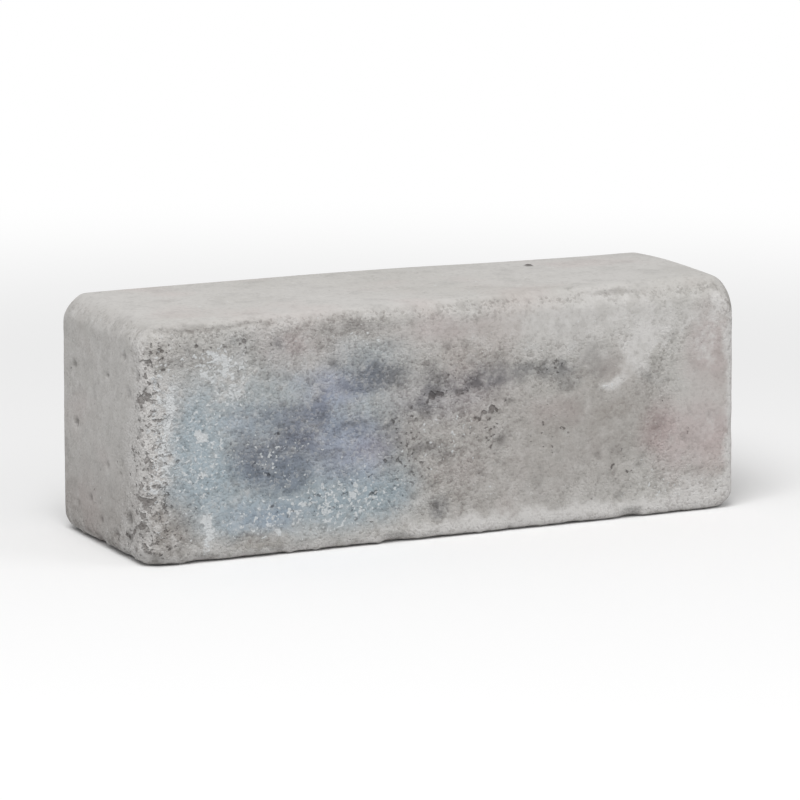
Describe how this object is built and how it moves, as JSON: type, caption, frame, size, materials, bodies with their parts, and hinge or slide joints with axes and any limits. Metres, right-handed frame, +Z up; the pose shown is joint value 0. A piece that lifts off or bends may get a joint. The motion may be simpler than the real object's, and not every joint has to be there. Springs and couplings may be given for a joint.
{
  "type": "tumbled concrete wall block",
  "caption": "Solid rectangular concrete wall block with tumbled, rounded arrises and knocked corners, laid in courses to build garden walls.",
  "frame": {"origin": "middle of the bed face that the block stands on", "axes": "+X along the block's length to the right of the front face, +Y from the front face to the back, +Z up"},
  "size_m": [0.3, 0.1, 0.11],
  "materials": {
    "concrete": "matt grey pressed concrete, tumbled, with dark and blue-grey clouds and a sandy face"
  },
  "bodies": {
    "root": {"wall_block": "concrete"}
  },
  "joints": []
}
